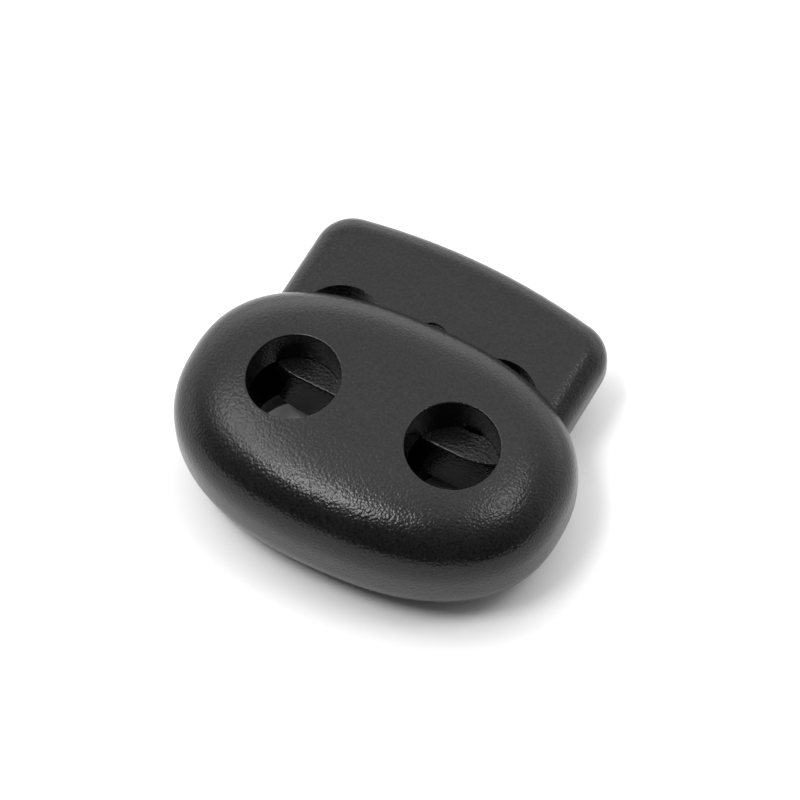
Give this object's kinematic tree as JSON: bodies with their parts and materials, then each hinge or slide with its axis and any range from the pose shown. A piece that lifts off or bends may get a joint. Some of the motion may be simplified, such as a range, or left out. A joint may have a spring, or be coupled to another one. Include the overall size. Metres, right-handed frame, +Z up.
{
  "type": "cord lock",
  "caption": "Flat oval two-hole cord lock in moulded plastic, with a spring-loaded slide pressed in from the rear to free the cords",
  "frame": {"origin": "midway between the two cord holes, on the flat face the lock rests on", "axes": "+X along the line of the cord holes, +Y out of the open end where the slide stands out, +Z up through the cord holes"},
  "size_m": [0.025, 0.0223, 0.0089],
  "materials": {
    "housing": "fine spark-eroded grain",
    "plunger": "fine spark-eroded grain",
    "spring": "drawn wire"
  },
  "bodies": {
    "housing": {"housing": "housing", "spring": "spring"},
    "plunger": {"plunger": "plunger"}
  },
  "joints": [
    {"name": "plunger_slide", "type": "slide", "parent": "housing", "child": "plunger", "axis": [0, -1, 0], "range_m": [0, 0.0056], "stiffness_N_per_m": 900, "springref_m": -0.003, "deforming": ["spring"]}
  ]
}
